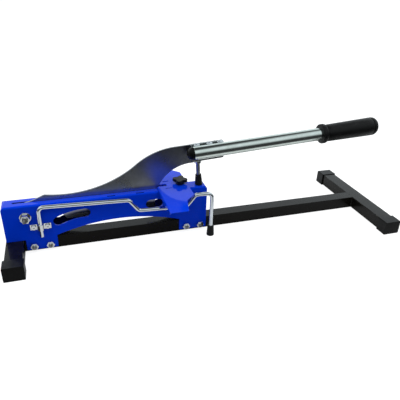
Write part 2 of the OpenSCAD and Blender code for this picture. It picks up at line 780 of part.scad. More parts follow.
clamp_bore_r = arm_d / 2 + clamp_gap;
clamp_screw_x = (strap_w / 2 + clamp_bore_r + strap_t) / 2;
module arm_clamp() {
    depth = -flange_y - arm_y;
    outer_r = clamp_bore_r + strap_t;
    color("#c9ccd0") stand() translate([arm_x, arm_y, strap_z - strap_h / 2]) difference() {
        linear_extrude(strap_h) polygon(concat(
            [[-strap_w / 2, depth], [-strap_w / 2, depth - strap_t], [-outer_r, depth - strap_t]],
            arc([0, 0], outer_r, 180, 360, 24),
            [[outer_r, depth - strap_t], [strap_w / 2, depth - strap_t], [strap_w / 2, depth]]));
        translate([0, 0, -lap]) cylinder(r = clamp_bore_r, h = strap_h + 2 * lap);
        translate([-clamp_bore_r, 0, -lap]) cube([2 * clamp_bore_r, depth + lap, strap_h + 2 * lap]);
        for (side = [-1, 1]) translate([side * clamp_screw_x, 0, strap_h / 2])
            bar_y(clamp_screw_d + 2 * bolt_gap, depth - strap_t - lap, depth + lap);
    }
}

strap_face_y = -flange_y - strap_t;
clamp_nut_h = hex_nut_h * clamp_screw_d;
clamp_screw_tail = 1;
module clamp_screws() {
    head_h = 0.6 * clamp_screw_d;
    head_d = 1.8 * clamp_screw_d;
    key = 0.6 * clamp_screw_d;
    color("#b9bcc0") stand() for (side = [-1, 1]) translate([arm_x + side * clamp_screw_x, 0, strap_z])
        difference() {
            union() {
                bar_y(clamp_screw_d, strap_face_y - lap, -flange_in + clamp_nut_h + clamp_screw_tail);
                bar_y(head_d, strap_face_y - head_h, strap_face_y);
            }
            hex_y(key, strap_face_y - head_h - lap, strap_face_y - socket_floor);
        }
}

module clamp_nuts() {
    color("#b9bcc0") stand() for (side = [-1, 1]) translate([arm_x + side * clamp_screw_x, 0, strap_z])
        hex_nut(clamp_screw_d, clamp_screw_d, -flange_in, clamp_nut_h);
}

// ---- Fence ----
fence_shoulder_y = 69;
fence_shoulder_x = 41.4;
fence_waist_y = 51;
fence_tip_slant = 0.5;
fence_corner = 1.5;
lip_gap = 0.3;
lip_inset = 2;
lip_y0 = 20;
lip_y1 = 77;
fence_slot = [12, 2.4];
fence_slot_y = 15;
fence_slot_back = 5;
module fence_plate() {
    tip_y = fence_half - fence_tip_slant;
    side = [[fence_mid_w, fence_waist_y], [fence_shoulder_x, fence_shoulder_y],
        [fence_tip_w, tip_y], [0, fence_half]];
    outline = concat([for (i = [3:-1:0]) [side[i].x, -side[i].y]], side);
    lip = fence_lift - lip_gap;
    fold_r = 0.8 * fence_t;
    color("#1b45e0") stand() translate([fence_x, 0, fence_z]) difference() {
        union() {
            linear_extrude(fence_t) polygon(rounded(outline, fence_corner));
            translate([0, lip_inset - fence_half, -lip])
                cube([fence_t, 2 * (fence_half - lip_inset), lip + fence_t / 2]);
            for (side = [0, 1]) mirror([0, side, 0]) translate([0, lip_y0, -lip_drop])
                cube([fence_t, lip_y1 - lip_y0, lip_drop + fence_t / 2]);
        }
        translate([fold_r, 0, fence_t - fold_r]) plate(2 * fence_half + 2 * lap) difference() {
            translate([-fold_r - lap, 0]) square(fold_r + lap);
            circle(r = fold_r);
        }
        translate([-lap, -notch_w / 2, -sheet]) cube([notch_l + lap, notch_w, 3 * sheet]);
        for (side = [-1, 1]) translate([notch_l - fence_slot_back, side * fence_slot_y - fence_slot.y / 2, -lap])
            cube([fence_slot.x, fence_slot.y, fence_t + 2 * lap]);
        translate([fence_screw_x, 0, -lap]) cylinder(r = fence_bore_r, h = fence_t + 2 * lap);
    }
}

fence_bore_r = fence_bolt_d / 2 + fence_gap;
square_neck = fence_bolt_d + 0.2;
knob_roof = 3;
fence_bolt_top = knob_z + knob_neck_h + knob_head_h - knob_roof;
module fence_bolt() {
    head_h = 0.5 * fence_bolt_d;
    head_d = 2.2 * fence_bolt_d;
    crown_d = 1.4 * fence_bolt_d;
    under = channel_h - sheet;
    color("#b9bcc0") stand() translate([fence_pivot_x, 0, 0]) {
        translate([0, 0, under]) cylinder(d = fence_bolt_d, h = fence_bolt_top - under);
        translate([0, 0, under - head_h]) cylinder(d1 = crown_d, d2 = head_d, h = head_h);
        translate([0, 0, under + sheet / 2]) cube([fence_bolt_d, fence_bolt_d, sheet], center = true);
    }
}

spacer_play = 0.05;
module fence_spacer() {
    color("#b9bcc0") stand() translate([fence_pivot_x, 0, channel_h]) difference() {
        cylinder(d = 3 * fence_bolt_d, h = fence_lift - spacer_play);
        translate([0, 0, -lap]) cylinder(r = fence_bore_r, h = fence_lift + 2 * lap);
    }
}

// Star knob: a round neck under a head whose rim waves in and out to four lobes
knob_lobes = 4;
knob_lobe_at = -24;
knob_step = 4;
knob_ledge = 0.8;
knob_neck_d = 17;
bolt_end_gap = 0.5;
insert_h = 6.5;
module fence_knob() {
    bore_h = fence_bolt_top - knob_z + bolt_end_gap;
    valley_r = knob_neck_d / 2 + knob_ledge;
    wave = (knob_d / 2 - valley_r) / 2;
    rim = [for (a = [0:knob_step:360 - knob_step])
        (valley_r + wave + wave * cos(knob_lobes * (a - knob_lobe_at))) * [cos(a), sin(a)]];
    color("#121212") stand() translate([fence_pivot_x, 0, knob_z]) difference() {
        union() {
            cylinder(d = knob_neck_d, h = knob_neck_h + lap);
            translate([0, 0, knob_neck_h]) linear_extrude(knob_head_h) polygon(rim);
        }
        translate([0, 0, -lap]) cylinder(r = fence_bore_r, h = bore_h + lap);
        translate([0, 0, -lap]) hex_prism(hex_across * fence_bolt_d, insert_h + lap);
    }
}

module knob_insert() {
    color("#b9bcc0") stand() translate([fence_pivot_x, 0, knob_z]) difference() {
        hex_prism(hex_across * fence_bolt_d, insert_h);
        translate([0, 0, -lap]) cylinder(r = fence_bore_r, h = insert_h + 2 * lap);
    }
}

main_beam();
pivot_crossbar();
handle_crossbar();
frame_welds();
pivot_crossbar_caps();
handle_crossbar_caps();
cutting_channel();
channel_bolts();
channel_nuts();
pivot_bolt();
pivot_nut();
pivot_spacers();
blade();
handle_bracket();
bracket_screws();
bracket_welds();
handle_tube();
tube_plug();
hand_grip();
stop_nut();
stop_rod();
stop_foot();
support_arm();
arm_foot();
arm_clamp();
clamp_screws();
clamp_nuts();
fence_plate();
fence_bolt();
fence_spacer();
fence_knob();
knob_insert();
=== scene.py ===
import json
import math

import bpy
from mathutils import Matrix, Vector


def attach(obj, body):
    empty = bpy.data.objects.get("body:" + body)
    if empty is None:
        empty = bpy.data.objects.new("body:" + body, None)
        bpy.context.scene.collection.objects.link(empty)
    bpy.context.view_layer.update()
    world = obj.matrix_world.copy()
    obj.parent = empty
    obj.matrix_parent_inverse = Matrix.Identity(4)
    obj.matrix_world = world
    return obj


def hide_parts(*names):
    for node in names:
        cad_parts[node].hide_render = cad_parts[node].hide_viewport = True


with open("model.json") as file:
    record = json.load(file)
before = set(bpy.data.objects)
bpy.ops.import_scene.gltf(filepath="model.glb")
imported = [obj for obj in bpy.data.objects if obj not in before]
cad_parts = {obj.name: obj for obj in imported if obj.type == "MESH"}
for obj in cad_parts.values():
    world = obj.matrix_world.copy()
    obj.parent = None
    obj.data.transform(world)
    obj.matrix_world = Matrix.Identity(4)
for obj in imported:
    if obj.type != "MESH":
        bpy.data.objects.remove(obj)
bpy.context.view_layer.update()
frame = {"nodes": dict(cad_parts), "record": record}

bodies = frame["record"]["behaviour"]["bodies"]
home = {node: body for body, nodes in bodies.items() for node in nodes}
scene = bpy.context.scene
MM = 0.001


# ---- Camera ----
CAMERA_PLACE = (-0.26079, -0.73873, 0.474225)
CAMERA_TURN = (0.3263, 0.4896, 0.0397)
SENSOR_WIDTH, LENS, NEAR_CLIP = 36, 39.309, 0.05


def set_camera():
    """Stands before the near side, towards the pivot end, and looks down on the cutter."""
    yaw, pitch, roll = CAMERA_TURN
    forward = Vector((math.sin(yaw) * math.cos(pitch), math.cos(yaw) * math.cos(pitch), -math.sin(pitch)))
    right = Vector((math.cos(yaw), -math.sin(yaw), 0))
    up = right.cross(forward)
    turned_right = math.cos(roll) * right + math.sin(roll) * up
    turned_up = math.cos(roll) * up - math.sin(roll) * right
    data = bpy.data.cameras.new("camera")
    data.sensor_width = SENSOR_WIDTH
    data.lens = LENS
    data.clip_start = NEAR_CLIP
    camera = bpy.data.objects.new("camera", data)
    turn = Matrix((turned_right, turned_up, -forward)).transposed()
    camera.matrix_world = Matrix.Translation(CAMERA_PLACE) @ turn.to_4x4()
    scene.collection.objects.link(camera)
    scene.camera = camera


# ---- Node helpers ----
def put(tree, kind, at, settings=None, **sockets):
    """Adds a node, with its settings and the values or links of its sockets."""
    node = tree.nodes.new(kind)
    node.location = at
    for key, value in (settings or {}).items():
        setattr(node, key, value)
    for key, value in sockets.items():
        socket = node.inputs[key.replace("_", " ")] if key.replace("_", " ") in node.inputs else node.inputs[key]
        if isinstance(value, bpy.types.NodeSocket):
            tree.links.new(value, socket)
        else:
            socket.default_value = value
    return node


def math_node(tree, operation, a, b, at, clamp=False):
    node = tree.nodes.new("ShaderNodeMath")
    node.operation = operation
    node.use_clamp = clamp
    node.location = at
    for index, value in enumerate((a, b)):
        if isinstance(value, bpy.types.NodeSocket):
            tree.links.new(value, node.inputs[index])
        elif value is not None:
            node.inputs[index].default_value = value
    return node.outputs[0]


def mix_color(tree, factor, a, b, at):
    node = tree.nodes.new("ShaderNodeMix")
    node.data_type = "RGBA"
    node.location = at
    for socket, value in ((node.inputs[0], factor), (node.inputs[6], a), (node.inputs[7], b)):
        if isinstance(value, bpy.types.NodeSocket):
            tree.links.new(value, socket)
        else:
            socket.default_value = value if socket is node.inputs[0] else (*value, 1)
    return node.outputs[2]


def new_group(name, inputs, outputs):
    """An empty shader node group with named sockets."""
    tree = bpy.data.node_groups.new(name, "ShaderNodeTree")
    for label, kind, value in inputs:
        socket = tree.interface.new_socket(name=label, in_out="INPUT", socket_type=kind)
        if value is not None:
            socket.default_value = value
    for label, kind in outputs:
        tree.interface.new_socket(name=label, in_out="OUTPUT", socket_type=kind)
    start = tree.nodes.new("NodeGroupInput")
    start.location = (-800, 0)
    end = tree.nodes.new("NodeGroupOutput")
    end.location = (800, 0)
    return tree, start.outputs, end.inputs


def place_group(tree, group, at, **values):
    node = tree.nodes.new("ShaderNodeGroup")
    node.node_tree = group
    node.location = at
    for key, value in values.items():
        socket = node.inputs[key.replace("_", " ")]
        if isinstance(value, bpy.types.NodeSocket):
            tree.links.new(value, socket)
        else:
            socket.default_value = value
    return node.outputs


# ---- Effects shared by the finishes ----
def make_mottling():
    """Soft uneven patches, as in plating, scale and handled rubber."""
    tree, given, result = new_group("mottling",
        [("Place", "NodeSocketVector", None), ("Scale", "NodeSocketFloat", 40.0),
         ("Low", "NodeSocketFloat", 0.35), ("High", "NodeSocketFloat", 0.65)],
        [("Mask", "NodeSocketFloat")])
    cloud = put(tree, "ShaderNodeTexNoise", (-400, 0), Vector=given["Place"], Scale=given["Scale"],
                Detail=5.0, Roughness=0.6)
    spread = put(tree, "ShaderNodeMapRange", (0, 0), Value=cloud.outputs[0], From_Min=given["Low"],
                 From_Max=given["High"])
    tree.links.new(spread.outputs[0], result["Mask"])
    return tree


def make_edge_wear():
    """Where a rounded edge has been rubbed: the piece's edge mark broken up by noise."""
    tree, given, result = new_group("edge_wear",
        [("Place", "NodeSocketVector", None), ("Scale", "NodeSocketFloat", 120.0),
         ("Amount", "NodeSocketFloat", 0.5)],
        [("Mask", "NodeSocketFloat")])
    mark = tree.nodes.new("ShaderNodeAttribute")
    mark.attribute_name = "edge"
    mark.location = (-600, 200)
    cloud = put(tree, "ShaderNodeTexNoise", (-600, -100), Vector=given["Place"], Scale=given["Scale"],
                Detail=4.0, Roughness=0.7)
    start = math_node(tree, "SUBTRACT", 1.0, given["Amount"], (-400, -250))
    above = math_node(tree, "SUBTRACT", cloud.outputs[0], start, (-200, -100))
    sharp = math_node(tree, "MULTIPLY", above, 6.0, (0, -100), clamp=True)
    tree.links.new(math_node(tree, "MULTIPLY", mark.outputs["Fac"], sharp, (300, 0)), result["Mask"])
    return tree


def make_drawn_lines():
    """Fine lines along X, as rolling or drawing leaves on a tube or rod."""
    tree, given, result = new_group("drawn_lines",
        [("Place", "NodeSocketVector", None), ("Scale", "NodeSocketFloat", 900.0),
         ("Stretch", "NodeSocketFloat", 0.02)],
        [("Mask", "NodeSocketFloat")])
    size = tree.nodes.new("ShaderNodeCombineXYZ")
    size.location = (-600, -200)
    tree.links.new(given["Stretch"], size.inputs[0])
    size.inputs[1].default_value = 1
    size.inputs[2].default_value = 1
    squeezed = tree.nodes.new("ShaderNodeVectorMath")
    squeezed.operation = "MULTIPLY"
    squeezed.location = (-400, 0)
    tree.links.new(given["Place"], squeezed.inputs[0])
    tree.links.new(size.outputs[0], squeezed.inputs[1])
    lines = put(tree, "ShaderNodeTexNoise", (0, 0), Vector=squeezed.outputs[0], Scale=given["Scale"],
                Detail=3.0, Roughness=0.6)
    tree.links.new(lines.outputs[0], result["Mask"])
    return tree


def make_dust():
    """A little dust that lies on what faces up."""
    tree, given, result = new_group("dust",
        [("Place", "NodeSocketVector", None), ("Scale", "NodeSocketFloat", 60.0),
         ("Amount", "NodeSocketFloat", 0.2)],
        [("Mask", "NodeSocketFloat")])
    face = put(tree, "ShaderNodeNewGeometry", (-800, 200))
    part = put(tree, "ShaderNodeSeparateXYZ", (-600, 200), Vector=face.outputs["Normal"])
    upward = put(tree, "ShaderNodeMapRange", (-400, 200), Value=part.outputs[2], From_Min=0.5, From_Max=1.0)
    cloud = put(tree, "ShaderNodeTexNoise", (-600, -100), Vector=given["Place"], Scale=given["Scale"],
                Detail=6.0, Roughness=0.7)
    spots = put(tree, "ShaderNodeMapRange", (-400, -100), Value=cloud.outputs[0], From_Min=0.45, From_Max=0.8)
    both = math_node(tree, "MULTIPLY", upward.outputs[0], spots.outputs[0], (0, 100))
    tree.links.new(math_node(tree, "MULTIPLY", both, given["Amount"], (300, 0)), result["Mask"])
    return tree


def make_inner_side():
    """Painted shade: the piece's mark for faces darkened in place of shade, a little uneven."""
    tree, given, result = new_group("inner_side",
        [("Place", "NodeSocketVector", None), ("Scale", "NodeSocketFloat", 30.0),
         ("Least", "NodeSocketFloat", 0.8)],
        [("Mask", "NodeSocketFloat")])
    mark = tree.nodes.new("ShaderNodeAttribute")
    mark.attribute_name = "inner"
    mark.location = (-600, 200)
    cloud = put(tree, "ShaderNodeTexNoise", (-600, -100), Vector=given["Place"], Scale=given["Scale"],
                Detail=3.0)
    part = put(tree, "ShaderNodeMapRange", (-300, -100), Value=cloud.outputs[0], From_Min=0.35, From_Max=0.65,
               To_Min=given["Least"], To_Max=1.0)
    tree.links.new(math_node(tree, "MULTIPLY", mark.outputs["Fac"], part.outputs[0], (300, 0)), result["Mask"])
    return tree


mottling = make_mottling()
edge_wear = make_edge_wear()
inner_side = make_inner_side()
drawn_lines = make_drawn_lines()
dust = make_dust()


def start_material(name, **constants):
    """A new material with its shader, and the piece's own coordinates."""
    material = bpy.data.materials.new(name)
    material.use_nodes = True
    tree = material.node_tree
    shader = tree.nodes["Principled BSDF"]
    for key, value in constants.items():
        shader.inputs[key.replace("_", " ")].default_value = value
    place = tree.nodes.new("ShaderNodeTexCoord")
    place.location = (-1400, 0)
    return material, tree, shader, place.outputs["Object"]


def grain(tree, shader, place, scale, height, detail=3.0):
    """Fine relief over the whole surface."""
    noise = put(tree, "ShaderNodeTexNoise", (-600, -500), Vector=place, Scale=scale, Detail=detail)
    bump = put(tree, "ShaderNodeBump", (-300, -500), Strength=1.0, Distance=height, Height=noise.outputs[0])
    tree.links.new(bump.outputs[0], shader.inputs["Normal"])
    return bump


def vary_roughness(tree, shader, mask, low, high):
    spread = put(tree, "ShaderNodeMapRange", (-300, -200), Value=mask, To_Min=low, To_Max=high)
    tree.links.new(spread.outputs[0], shader.inputs["Roughness"])


# ---- Finishes ----
def powder_paint(name, color, worn_and_highlit_edge_color, rough, peel, wear, gloss, dirt=(0.3, 0.3, 0.32)):
    """Sprayed and baked paint: slight orange peel, lighter on the edges, partly as wear and partly as a painted
    highlight, and painted shade on the faces marked for it.
    """
    material, tree, shader, place = start_material(name, Specular_IOR_Level=gloss[0], Coat_Roughness=0.06)
    patches = place_group(tree, mottling, (-1000, 200), Place=place, Scale=18.0, Low=0.3, High=0.7)["Mask"]
    rubbed = place_group(tree, edge_wear, (-1000, 0), Place=place, Scale=150.0, Amount=wear)["Mask"]
    settled = place_group(tree, dust, (-1000, -200), Place=place, Scale=70.0, Amount=0.02)["Mask"]
    deep = tuple(0.9 * c for c in color)
    tone = mix_color(tree, patches, deep, color, (-700, 200))
    # Lighter rounded edges: wear in part, and in part a painted highlight where the edges catch the light.
    tone = mix_color(tree, rubbed, tone, worn_and_highlit_edge_color, (-500, 200))
    tone = mix_color(tree, settled, tone, dirt, (-300, 200))
    # Painted shade: faces with the painted-shade mark, inside the channel and on its slot walls, are darkened to
    # near black and lose their coat.
    inner = place_group(tree, inner_side, (-1000, -400), Place=place, Scale=30.0, Least=0.85)["Mask"]
    tone = mix_color(tree, inner, tone, tuple(0.06 * c for c in color), (-100, 200))
    tree.links.new(tone, shader.inputs["Base Color"])
    slant = put(tree, "ShaderNodeLayerWeight", (-700, -250), Blend=0.5)
    gleam = put(tree, "ShaderNodeMapRange", (-500, -250), Value=slant.outputs["Facing"], From_Min=0.15,
                From_Max=0.45, To_Min=gloss[1], To_Max=gloss[2])
    outer = math_node(tree, "SUBTRACT", 1.0, inner, (-700, -400))
    coat = math_node(tree, "MULTIPLY", gleam.outputs[0], outer, (-300, -350))
    tree.links.new(coat, shader.inputs["Coat Weight"])
    vary_roughness(tree, shader, patches, rough, rough * 1.35)
    grain(tree, shader, place, 420.0, peel)
    return material


def plated_steel(name, color, tint, rough, lines, wear=0.3):
    """Zinc or nickel plate: patchy tone, fine lines and a bright worn edge."""
    material, tree, shader, place = start_material(name, Metallic=1.0)
    patches = place_group(tree, mottling, (-1000, 200), Place=place, Scale=90.0, Low=0.35, High=0.65)["Mask"]
    drawn = place_group(tree, drawn_lines, (-1000, 0), Place=place, Scale=700.0, Stretch=0.02)["Mask"]
    rubbed = place_group(tree, edge_wear, (-1000, -200), Place=place, Scale=200.0, Amount=wear)["Mask"]
    tone = mix_color(tree, patches, color, tint, (-700, 200))
    tone = mix_color(tree, rubbed, tone, (0.9, 0.9, 0.9), (-500, 200))
    # Painted shade: faces with the painted-shade mark, the bolts' thread tails, are darkened to near black.
    inner = place_group(tree, inner_side, (-1000, -400), Place=place, Scale=400.0, Least=0.6)["Mask"]
    tone = mix_color(tree, inner, tone, (0.06, 0.06, 0.062), (-300, 200))
    tree.links.new(tone, shader.inputs["Base Color"])
    vary_roughness(tree, shader, patches, rough, rough * 1.6)
    bump = put(tree, "ShaderNodeBump", (-300, -500), Strength=1.0, Distance=lines, Height=drawn)
    tree.links.new(bump.outputs[0], shader.inputs["Normal"])
    return material


def moulded(name, color, rough, height, scale, gloss):
    """Black plastic or rubber with the fine texture of its mould."""
    material, tree, shader, place = start_material(name, Specular_IOR_Level=gloss[0], Coat_Roughness=0.3)
    slant = put(tree, "ShaderNodeLayerWeight", (-700, -250), Blend=0.5)
    gleam = put(tree, "ShaderNodeMapRange", (-500, -250), Value=slant.outputs["Facing"], From_Min=0.2,
                From_Max=0.5, To_Min=0.0, To_Max=gloss[1])
    tree.links.new(gleam.outputs[0], shader.inputs["Coat Weight"])
    patches = place_group(tree, mottling, (-1000, 200), Place=place, Scale=50.0, Low=0.3, High=0.7)["Mask"]
    rubbed = place_group(tree, edge_wear, (-1000, 0), Place=place, Scale=160.0, Amount=0.45)["Mask"]
    settled = place_group(tree, dust, (-1000, -200), Place=place, Scale=90.0, Amount=0.04)["Mask"]
    tone = mix_color(tree, patches, tuple(0.7 * c for c in color), color, (-700, 200))
    tone = mix_color(tree, rubbed, tone, tuple(3 * c + 0.01 for c in color), (-500, 200))
    tone = mix_color(tree, settled, tone, (0.3, 0.3, 0.3), (-300, 200))
    tree.links.new(tone, shader.inputs["Base Color"])
    vary_roughness(tree, shader, patches, rough, rough * 1.3)
    grain(tree, shader, place, scale, height)
    return material


def blade_finish():
    """Dark oiled steel with cloudy rolling marks and fine grinding scratches."""
    material, tree, shader, place = start_material("blade_steel", Metallic=1.0)
    patches = place_group(tree, mottling, (-1000, 200), Place=place, Scale=14.0, Low=0.2, High=0.8)["Mask"]
    fine = place_group(tree, mottling, (-1000, 50), Place=place, Scale=160.0, Low=0.3, High=0.7)["Mask"]
    drawn = place_group(tree, drawn_lines, (-1000, -100), Place=place, Scale=500.0, Stretch=0.05)["Mask"]
    rubbed = place_group(tree, edge_wear, (-1000, -250), Place=place, Scale=60.0, Amount=0.8)["Mask"]
    tone = mix_color(tree, patches, (0.24, 0.255, 0.265), (0.56, 0.58, 0.595), (-700, 200))
    tone = mix_color(tree, fine, tone, (0.35, 0.365, 0.375), (-600, 100))
    tone = mix_color(tree, rubbed, tone, (0.7, 0.7, 0.71), (-500, 200))
    tree.links.new(tone, shader.inputs["Base Color"])
    vary_roughness(tree, shader, patches, 0.22, 0.38)
    bump = put(tree, "ShaderNodeBump", (-300, -500), Strength=1.0, Distance=0.000004, Height=drawn)
    tree.links.new(bump.outputs[0], shader.inputs["Normal"])
    return material


blue_paint = powder_paint("blue_paint", (0.0004, 0.037, 0.60), (0.03, 0.12, 0.85), 0.3, 0.000006, 0.5,
                          (0.0, 0.06, 0.68))
black_paint = powder_paint("black_paint", (0.0038, 0.0032, 0.0024), (0.06, 0.058, 0.052), 0.24, 0.00002, 0.5,
                           (0.1, 0.0, 0.29))
zinc_tube = plated_steel("zinc_tube", (0.80, 0.87, 0.83), (0.70, 0.77, 0.72), 0.08, 0.000002)
zinc_fastener = plated_steel("zinc_fastener", (0.80, 0.82, 0.84), (0.68, 0.69, 0.69), 0.08, 0.000002, 0.5)
bright_rod = plated_steel("bright_rod", (0.84, 0.89, 0.93), (0.78, 0.82, 0.86), 0.06, 0.000001)
dull_plate = plated_steel("dull_plate", (0.40, 0.43, 0.43), (0.32, 0.34, 0.34), 0.22, 0.000002)
plain_steel = plated_steel("plain_steel", (0.45, 0.46, 0.48), (0.33, 0.33, 0.35), 0.3, 0.000005)
blade_steel = blade_finish()
black_plastic = moulded("black_plastic", (0.003, 0.003, 0.003), 0.34, 0.00001, 900.0, (0.1, 0.3))
black_rubber = moulded("black_rubber", (0.004, 0.004, 0.004), 0.42, 0.00001, 700.0, (0.22, 0.12))
FINISHES = {"blue_paint": blue_paint, "black_paint": black_paint, "zinc_tube": zinc_tube,
            "zinc_fastener": zinc_fastener, "bright_rod": bright_rod, "plain_steel": plain_steel,
            "blade_steel": blade_steel, "dull_plate": dull_plate, "black_plastic": black_plastic,
            "black_rubber": black_rubber}


# ---- Pieces ----
def only(piece):
    bpy.ops.object.select_all(action="DESELECT")
    piece.select_set(True)
    bpy.context.view_layer.objects.active = piece


def dress(piece, finish):
    piece.data.materials.clear()
    piece.data.materials.append(FINISHES[finish])


def mark_inner(data, is_inner):
    """Marks the faces that get painted shade."""
    mark = data.attributes.new("inner", "FLOAT", "CORNER")
    for face in data.polygons:
        if is_inner(face):
            for corner in face.loop_indices:
                mark.data[corner].value = 1.0


def softened(node, finish, width, segments=2, angle=32):
    """A copy of a CAD piece whose sharp edges are rounded, with the rounding marked for wear."""
    data = frame["nodes"][node].data.copy()
    piece = bpy.data.objects.new(node + "_finished", data)
    scene.collection.objects.link(piece)
    only(piece)
    bpy.ops.object.mode_set(mode="EDIT")
    bpy.ops.mesh.select_all(action="SELECT")
    bpy.ops.mesh.remove_doubles(threshold=0.000002)
    bpy.ops.mesh.dissolve_limited(angle_limit=math.radians(0.3))
    bpy.ops.object.mode_set(mode="OBJECT")
    data.materials.clear()
    data.materials.append(FINISHES[finish])
    for face in data.polygons:
        face.material_index = 0
    data.materials.append(FINISHES[finish])
    bevel = piece.modifiers.new("rounding", "BEVEL")
    bevel.width = width
    bevel.segments = segments
    bevel.limit_method = "ANGLE"
    bevel.angle_limit = math.radians(angle)
    bevel.material = 1
    bevel.use_clamp_overlap = True
    bpy.ops.object.modifier_apply(modifier=bevel.name)
    mark = data.attributes.new("edge", "FLOAT", "CORNER")
    for face in data.polygons:
        if face.material_index == 1:
            for corner in face.loop_indices:
                mark.data[corner].value = 1.0
            face.material_index = 0
    data.materials.pop(index=1)
    bpy.ops.object.shade_smooth_by_angle(angle=math.radians(35))
    flatten = piece.modifiers.new("flat faces", "WEIGHTED_NORMAL")
    flatten.mode = "FACE_AREA"
    flatten.weight = 100
    flatten.keep_sharp = True
    bpy.ops.object.modifier_apply(modifier=flatten.name)
    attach(piece, home[node])
    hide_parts(node)
    return piece


plain = {"pivot_spacers": "plain_steel", "clamp_nuts": "zinc_fastener", "fence_spacer": "zinc_fastener",
         "knob_insert": "zinc_fastener"}
for node, finish in plain.items():
    dress(frame["nodes"][node], finish)

channel = softened("cutting_channel", "blue_paint", 0.4 * MM)
corners = [corner.co for corner in channel.data.vertices]
low = [min(corner[axis] for corner in corners) for axis in range(3)]
high = [max(corner[axis] for corner in corners) for axis in range(3)]


def inside_channel(face):
    """Behind the sheet, or the wall of a slot in its top."""
    at = face.center
    depth = min(at.x - low[0], high[0] - at.x, at.y - low[1], high[1] - at.y, high[2] - at.z)
    slot_wall = abs(at.y) < high[1] - 5 * MM and at.z > high[2] - 4 * MM and face.normal.z < 0.5
    return depth > 1.5 * MM or slot_wall


# Painted shade: the inside of the channel and the walls of the slots in its top are marked to be darkened to
# near black.
mark_inner(channel.data, inside_channel)
softened("fence_plate", "blue_paint", 0.9 * MM, 3)
softened("main_beam", "black_paint", 1.2 * MM, 3, 60)
softened("pivot_crossbar", "black_paint", 1.2 * MM, 3, 60)
softened("handle_crossbar", "black_paint", 1.2 * MM, 3, 60)
softened("pivot_crossbar_caps", "black_plastic", 0.8 * MM, 3)
softened("handle_crossbar_caps", "black_plastic", 0.8 * MM, 3)
softened("blade", "blade_steel", 0.25 * MM)
softened("handle_bracket", "dull_plate", 0.4 * MM)
softened("arm_clamp", "zinc_fastener", 0.25 * MM)
softened("channel_nuts", "zinc_fastener", 0.5 * MM, 3)
softened("pivot_nut", "zinc_fastener", 0.6 * MM, 3)
softened("fence_knob", "black_rubber", 1.5 * MM, 3)
for bolts, tail in (("channel_bolts", 2.6 * MM), ("pivot_bolt", 3.1 * MM)):
    piece = softened(bolts, "zinc_fastener", 0.5 * MM, 3)
    end = min(corner.co.y for corner in piece.data.vertices)
    # Painted shade: each bolt's threaded tail is marked to be darkened to near black, in place of the shade in
    # its thread.
    mark_inner(piece.data, lambda face: face.center.y < end + tail)
softened("fence_bolt", "zinc_fastener", 0.3 * MM)
softened("clamp_screws", "zinc_fastener", 0.3 * MM)
softened("bracket_screws", "plain_steel", 0.3 * MM)
softened("stop_nut", "zinc_fastener", 0.3 * MM)
softened("handle_tube", "zinc_tube", 0.3 * MM)
softened("tube_plug", "black_plastic", 0.3 * MM)
softened("stop_rod", "dull_plate", 0.3 * MM)
softened("support_arm", "bright_rod", 0.4 * MM)
softened("stop_foot", "black_rubber", 0.5 * MM)
softened("arm_foot", "black_rubber", 0.5 * MM)


# ---- Pieces shaped here ----
ON_LEVER = Matrix.Translation((-33.5 * MM, 0, 169.1 * MM)) @ Matrix.Rotation(math.radians(-4), 4, "Y")
ALONG_X = Matrix.Rotation(math.radians(90), 4, "Y")
TUBE_Y, BRACKET_FACE_Y = -19 * MM, -6.5 * MM
BRACKET_BEAD = (12.0, 2.7, 3)
BRACKET_BEAD_MIDDLES = (9.5, 34.5, 55.5)
FRAME_BEAD = (24.0, 2.6, 7)
GRIP_START = 265 * MM
# Place along the grip and radius: the bore, the rolled collar, its groove, the body, the end groove and the end
GRIP_RINGS = [
    (121, 12.5), (0, 12.5), (0, 17.6), (0.4, 18.6), (1.2, 19.3), (2.6, 19.5), (7.2, 19.5), (8.4, 19.2),
    (9.1, 18.4), (9.5, 17.2), (10.0, 15.9), (10.6, 15.5), (12.6, 15.5), (13.2, 15.7), (14.0, 16.3),
    (15.2, 16.8), (17.0, 17.05), (40, 17.45), (70, 17.85), (100, 18.25), (114.6, 18.45), (115.2, 18.2),
    (115.5, 17.7), (116.6, 17.7), (116.9, 18.2), (117.5, 18.4), (119.0, 18.35), (121.6, 17.9),
    (124.2, 16.8), (126.4, 15.1), (128.0, 12.8), (128.8, 10.0), (129.0, 6.0)]


def begin():
    """Nothing selected, so that only the new shape is worked on."""
    bpy.ops.object.select_all(action="DESELECT")


def pick(mesh_object, wanted):
    """Selects, in edit mode, the corners for which wanted(place) holds."""
    bpy.ops.mesh.select_all(action="DESELECT")
    bpy.ops.object.mode_set(mode="OBJECT")
    for corner in mesh_object.data.vertices:
        corner.select = wanted(corner.co)
    bpy.ops.object.mode_set(mode="EDIT")


def turned(name, rings, sides=64):
    """A round piece along Z: a disc that is pushed on and resized from ring to ring of (place, radius) in mm."""
    begin()
    place, radius = rings[0]
    bpy.ops.mesh.primitive_circle_add(vertices=sides, radius=radius * MM, fill_type="NGON",
                                      location=(0, 0, place * MM))
    piece = bpy.context.object
    piece.name = name
    bpy.ops.object.transform_apply(location=True, rotation=True, scale=True)
    bpy.ops.object.mode_set(mode="EDIT")
    bpy.ops.mesh.select_mode(type="FACE")
    bpy.ops.mesh.select_all(action="SELECT")
    for next_place, next_radius in rings[1:]:
        bpy.ops.mesh.extrude_region_move(TRANSFORM_OT_translate={"value": (0, 0, (next_place - place) * MM)})
        size = next_radius / radius
        bpy.ops.transform.resize(value=(size, size, 1), center_override=(0, 0, next_place * MM))
        place, radius = next_place, next_radius
    bpy.ops.mesh.select_all(action="SELECT")
    bpy.ops.mesh.normals_make_consistent(inside=False)
    bpy.ops.object.mode_set(mode="OBJECT")
    return piece


